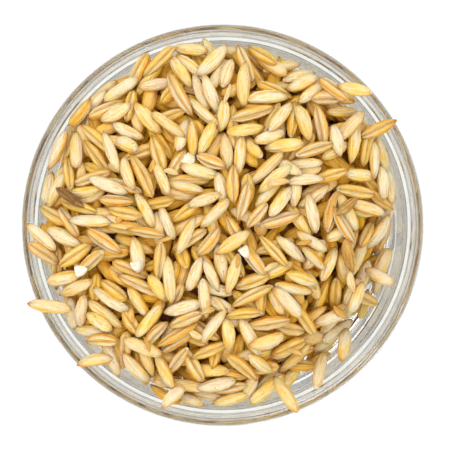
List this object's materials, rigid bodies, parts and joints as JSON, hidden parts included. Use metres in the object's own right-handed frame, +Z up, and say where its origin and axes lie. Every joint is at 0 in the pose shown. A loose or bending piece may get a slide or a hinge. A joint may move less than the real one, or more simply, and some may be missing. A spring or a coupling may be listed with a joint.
{
  "type": "bowl of hulless oats",
  "caption": "Small clear glass bowl with a stepped rim and a foot ring, heaped above its rim with dry hulless oat grains.",
  "frame": {"origin": "middle of the bowl's foot ring, on the surface the bowl stands on", "axes": "+Z up along the bowl's axis, +X to the right and +Y to the far side as the picture looks down on the bowl"},
  "size_m": [0.0808, 0.081, 0.0473],
  "materials": {
    "glass": "clear, smooth",
    "oat_grains": "dry, satin grain coats, golden tan with paler backs and browner creases"
  },
  "bodies": {
    "root": {"bowl": "glass", "oats": "oat_grains"}
  },
  "joints": []
}
